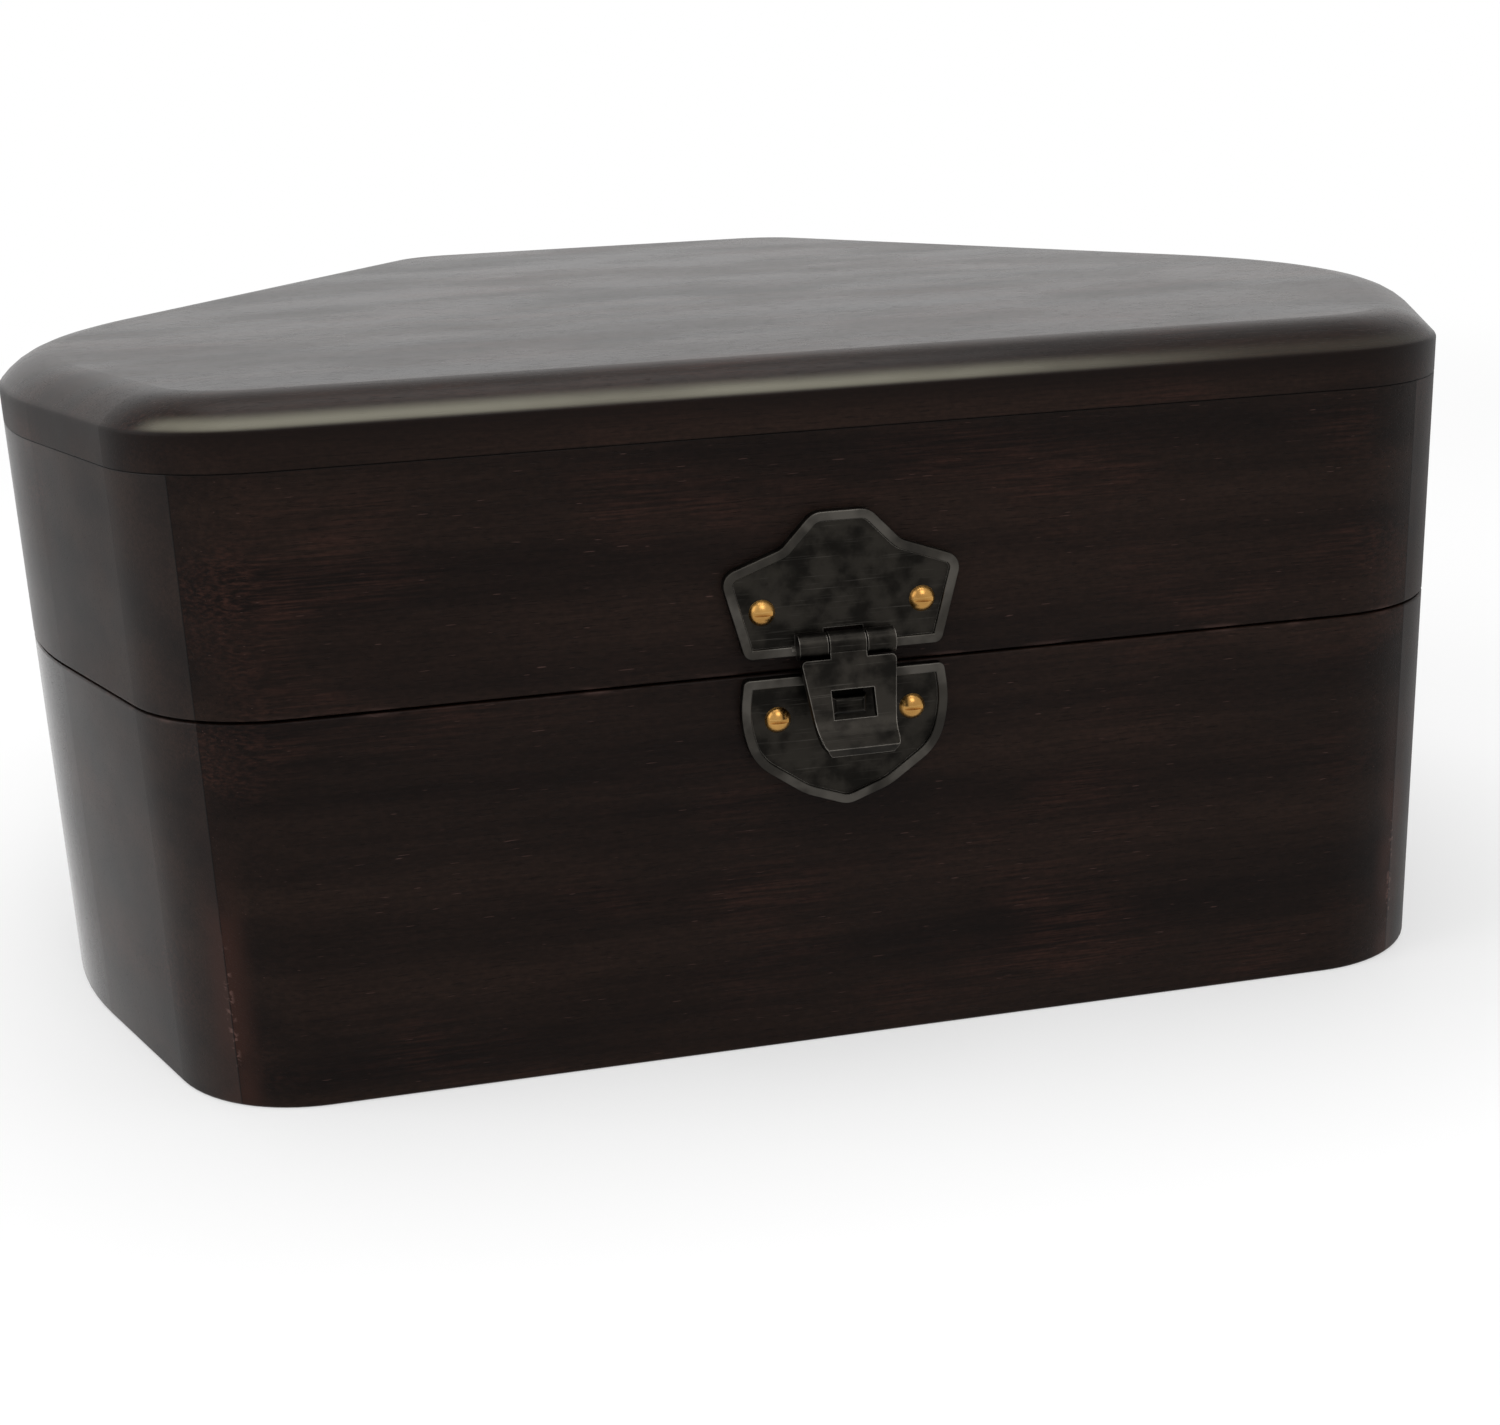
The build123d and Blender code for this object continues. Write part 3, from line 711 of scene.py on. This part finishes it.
def feltMaterial():
    material, tree = newMaterial("redFelt")
    place = placeInMillimetres(tree)
    fibre = grained(tree, place, felt["fibre"], detail=5.0, roughness=0.7)
    cloud = grained(tree, place, felt["cloud"], detail=3.0)
    tint = blendColours(tree, spread(tree, fibre, *felt["levels"]), felt["shadow"], felt["colour"])
    shade = spread(tree, cloud, *felt["levels"], *felt["cloudShade"])
    tint = blendColours(tree, 1.0, tint, grey(tree, shade), how="MULTIPLY")
    finish = {
        "Base Color": tint,
        "Roughness": felt["roughness"],
        "Specular IOR Level": felt["specular"],
        "Sheen Weight": felt["sheen"],
        "Sheen Roughness": felt["sheenRoughness"],
        "Sheen Tint": felt["sheenTint"],
    }
    shader = put(tree, "BsdfPrincipled", finish)
    finishMaterial(tree, shader, [(cloud, felt["cloudDepth"]), (fibre, felt["fibreDepth"])])
    return material


redFelt = feltMaterial()


def swelling(point):
    # From 0 to 1, the same at the same place each time.
    return 0.5 + 0.5 * noise.noise(Vector(point) / felt["swellSize"])


def meshFrom(name, mesh):
    data = bpy.data.meshes.new(name)
    mesh.to_mesh(data)
    mesh.free()
    return data


def feltPiece(name, mesh, body, nodeName):
    data = meshFrom(name, mesh)
    data.materials.append(redFelt)
    for face in data.polygons:
        face.use_smooth = True
    piece = bpy.data.objects.new(name, data)
    bpy.context.scene.collection.objects.link(piece)
    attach(piece, body)
    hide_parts(nodeName)
    return piece


def feltStrip(name, nodeName, body):
    # A strip stuck round the inside of the walls, with its ends butted at the middle of the back.
    low, high = (corner.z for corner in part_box(nodeName))
    outer = felt["stripInset"]
    inner = outer + felt["thickness"]
    roll = felt["roll"]
    rows = ceil((high - low - 2 * roll) / felt["rowStep"])
    profile = [(outer, low), (outer, high - roll)]
    profile += [(outer + roll / 2, high - roll / 4), (outer + roll, high)]
    profile += [(inner - roll, high), (inner - roll / 4, high - roll / 4)]
    for row in range(rows + 1):
        profile.append((inner, high - roll - (high - low - 2 * roll) * row / rows))
    profile.append((inner - roll, low))
    mesh = bmesh.new()
    rings = []
    for inset, z in profile:
        outline = planOutline(inset)
        outline[0].x -= felt["buttGap"] / 2
        outline[-1].x += felt["buttGap"] / 2
        ring = []
        for point in outline:
            place = Vector((point.x, point.y, z))
            if inset == inner:
                inward = -Vector((point.x, point.y, 0)).normalized()
                place += inward * felt["swell"] * swelling(place)
            ring.append(mesh.verts.new(place))
        rings.append(ring)
    for index, ring in enumerate(rings):
        beyond = rings[(index + 1) % len(rings)]
        for step in range(len(ring) - 1):
            mesh.faces.new((ring[step], beyond[step], beyond[step + 1], ring[step + 1]))
    mesh.faces.new([ring[0] for ring in reversed(rings)])
    mesh.faces.new([ring[-1] for ring in rings])
    bmesh.ops.recalc_face_normals(mesh, faces=mesh.faces)
    piece = feltPiece(name, mesh, body, nodeName)
    middle = planOutline((outer + inner) / 2)
    length = sum((after - before).length for before, after in zip(middle, middle[1:]))
    return piece, (length, high - low)


def roundedRectangle(low, high, radius, steps=8):
    points = []
    corners = ((high.x, high.y, 0), (low.x, high.y, 90), (low.x, low.y, 180), (high.x, low.y, 270))
    for x, y, start in corners:
        centreX = x - radius if x == high.x else x + radius
        centreY = y - radius if y == high.y else y + radius
        for step in range(steps + 1):
            angle = radians(start + 90 * step / steps)
            points.append(Vector((centreX, centreY)) + radius * Vector((cos(angle), sin(angle))))
    return points


def loopArea(points):
    sides = zip(points, points[1:] + points[:1])
    return abs(sum(here.x * after.y - after.x * here.y for here, after in sides)) / 2


def feltSheet(name, nodeName, body, outline, holes, facingUp):
    # A flat sheet, cut to the outline with holes in it. The face that shows swells a little.
    lowCorner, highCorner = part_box(nodeName)
    visible = highCorner.z if facingUp else lowCorner.z
    mesh = bmesh.new()
    edges = []
    for loop in [outline] + holes:
        corners = [mesh.verts.new((point.x, point.y, visible)) for point in loop]
        edges += [mesh.edges.new(side) for side in zip(corners, corners[1:] + corners[:1])]
    bmesh.ops.triangle_fill(mesh, use_beauty=True, edges=edges)
    for axis in (Vector((1, 0, 0)), Vector((0, 1, 0))):
        low = lowCorner.dot(axis)
        high = highCorner.dot(axis)
        for cut in range(1, ceil((high - low) / felt["gridStep"])):
            everything = mesh.verts[:] + mesh.edges[:] + mesh.faces[:]
            at = axis * (low + cut * felt["gridStep"])
            reach = felt["cutTolerance"]
            bmesh.ops.bisect_plane(mesh, geom=everything, dist=reach, plane_co=at, plane_no=axis)
    way = 1 if facingUp else -1
    for vertex in mesh.verts:
        if not vertex.is_boundary:
            vertex.co.z -= way * felt["swell"] * swelling(vertex.co)
    for face in mesh.faces:
        if face.normal.z * way < 0:
            face.normal_flip()
    piece = feltPiece(name, mesh, body, nodeName)
    thick = piece.modifiers.new("thickness", "SOLIDIFY")
    thick.thickness = felt["thickness"]
    thick.offset = -1
    edge = piece.modifiers.new("cutEdge", "BEVEL")
    edge.width = felt["roll"]
    edge.segments = felt["rollSegments"]
    edge.limit_method = "ANGLE"
    edge.angle_limit = felt["sharpAngle"]
    area = loopArea(outline) - sum(loopArea(hole) for hole in holes)
    return piece, area


discs = {
    "radius": 0.0047,
    "crown": 0.0001,  # how far the middle stands proud
    "crownRings": (0.66, 0.33),
    "steps": 32,
    "cutFrom": (0.010, 0.031),  # the piece of felt that all three are cut from
}


def socketDiscs(name, nodeName):
    # A disc at the bottom of each block's socket.
    low, high = (corner.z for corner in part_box(nodeName))
    radius = discs["radius"]
    steps = discs["steps"]
    dome = [(radius, low), (radius, high - felt["roll"]), (radius - felt["roll"], high)]
    dome += [(radius * share, high + discs["crown"] * (1 - share)) for share in discs["crownRings"]]
    mesh = bmesh.new()
    area = 0.0
    for block in blocks:
        blockLow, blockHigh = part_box(block)
        middle = (blockLow + blockHigh) / 2
        rings = []
        for reach, z in dome:
            ring = []
            for step in range(steps):
                angle = 2 * pi * step / steps
                place = (middle.x + reach * cos(angle), middle.y + reach * sin(angle), z)
                ring.append(mesh.verts.new(place))
            rings.append(ring)
        for ring, beyond in zip(rings, rings[1:]):
            for step in range(steps):
                after = (step + 1) % steps
                mesh.faces.new((ring[step], ring[after], beyond[after], beyond[step]))
        mesh.faces.new(rings[-1])
        mesh.faces.new(reversed(rings[0]))
        area += pi * radius**2
    return feltPiece(name, mesh, "base", nodeName), area


strip, stripFlat = feltStrip("baseWallFelt", "base_wall_lining", "base")
strip, stripFlat = feltStrip("lidWallFelt", "lid_wall_lining", "lid")

sheetOutline = planOutline(felt["sheetInset"])[:-1]
blockHoles = []
for block in blocks:
    low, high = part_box(block)
    margin = Vector((felt["blockClearance"], felt["blockClearance"], 0))
    blockHoles.append(roundedRectangle(low - margin, high + margin, felt["blockRadius"]))
sheet, area = feltSheet("baseFloorFelt", "base_floor_lining", "base", sheetOutline, blockHoles, True)
sheet, area = feltSheet("lidCeilingFelt", "lid_ceiling_lining", "lid", sheetOutline, [], False)
sockets, area = socketDiscs("socketFelt", "leg_socket_felts")
print("Felt laid")


# Floor, background and light

studio = {
    "floorColour": (0.86, 0.86, 0.86),
    "floorSpeck": (0.80, 0.80, 0.80),
    "specks": {  # their size is in metres
        "size": (0.004, 0.004),
        "levels": (0.3, 0.7),
        "results": (0.0, 0.03),
        "detail": 3.0,
    },
    "floorReach": 6.0,
    "floorSides": 64,
    "shadowReach": (0.25, 0.75),  # metres from the box, where the floor fades to plain white
    "shadowStrength": 0.55,
    "surround": 0.55,
    "aim": (0.0, 0.0, 0.045),  # where the lamps point
}
softLamps = [
    {"name": "leftWindow", "place": (-0.95, -0.10, 0.60), "size": 0.8, "power": 4.0},
    {"name": "overhead", "place": (0.00, 0.10, 1.10), "size": 0.8, "power": 6.0},
    {"name": "frontFill", "place": (0.10, -0.75, 0.90), "size": 0.5, "power": 3.0},
]


def floorMaterial():
    # Near the box the floor takes its shadow. Further away, and in reflections, it is plain white.
    material, tree = newMaterial("paleFloor")
    ray = put(tree, "LightPath", {})
    mirrored = calc(tree, "MAXIMUM", ray.outputs["Is Glossy Ray"], ray.outputs["Is Transmission Ray"])
    place = put(tree, "TexCoord", {}).outputs["Object"]
    away = put(tree, "VectorMath", {0: place}, operation="LENGTH").outputs["Value"]
    clear = spread(tree, away, *studio["shadowReach"], 1 - studio["shadowStrength"], 1.0)
    bright = calc(tree, "MAXIMUM", product(tree, clear, ray.outputs["Is Camera Ray"]), mirrored)
    speck = patches(tree, place, **studio["specks"])
    tint = blendColours(tree, speck, studio["floorColour"], studio["floorSpeck"])
    plain = put(tree, "BsdfDiffuse", {"Color": tint})
    glow = put(tree, "Emission", {"Color": white, "Strength": 1.0})
    mixed = put(tree, "MixShader", {0: bright, 1: plain.outputs[0], 2: glow.outputs[0]})
    put(tree, "OutputMaterial", {"Surface": mixed.outputs[0]})
    return material


def makeFloor():
    mesh = bmesh.new()
    reach = studio["floorReach"]
    bmesh.ops.create_circle(mesh, cap_ends=True, radius=reach, segments=studio["floorSides"])
    floor = bpy.data.objects.new("floor", meshFrom("floor", mesh))
    floor.data.materials.append(floorMaterial())
    bpy.context.scene.collection.objects.link(floor)


def makeSurround():
    # White to look at and in reflections, and dimmer as a light.
    world = bpy.data.worlds.new("studio")
    bpy.context.scene.world = world
    world.use_nodes = True
    tree = world.node_tree
    tree.nodes.clear()
    ray = put(tree, "LightPath", {})
    seen = calc(tree, "MAXIMUM", ray.outputs["Is Glossy Ray"], ray.outputs["Is Transmission Ray"])
    seen = calc(tree, "MAXIMUM", seen, ray.outputs["Is Camera Ray"])
    dim = put(tree, "Background", {"Color": white, "Strength": studio["surround"]})
    bright = put(tree, "Background", {"Color": white, "Strength": 1.0})
    mixed = put(tree, "MixShader", {0: seen, 1: dim.outputs[0], 2: bright.outputs[0]})
    put(tree, "OutputWorld", {"Surface": mixed.outputs[0]})


def hangLamps():
    for lamp in softLamps:
        light = bpy.data.lights.new(lamp["name"], "AREA")
        light.shape = "SQUARE"
        light.size = lamp["size"]
        light.energy = lamp["power"]
        lightObject = bpy.data.objects.new(lamp["name"], light)
        lightObject.location = lamp["place"]
        way = Vector(studio["aim"]) - Vector(lamp["place"])
        lightObject.rotation_euler = way.to_track_quat("-Z", "Y").to_euler()
        bpy.context.scene.collection.objects.link(lightObject)


makeFloor()
makeSurround()
hangLamps()
print("Studio lit")
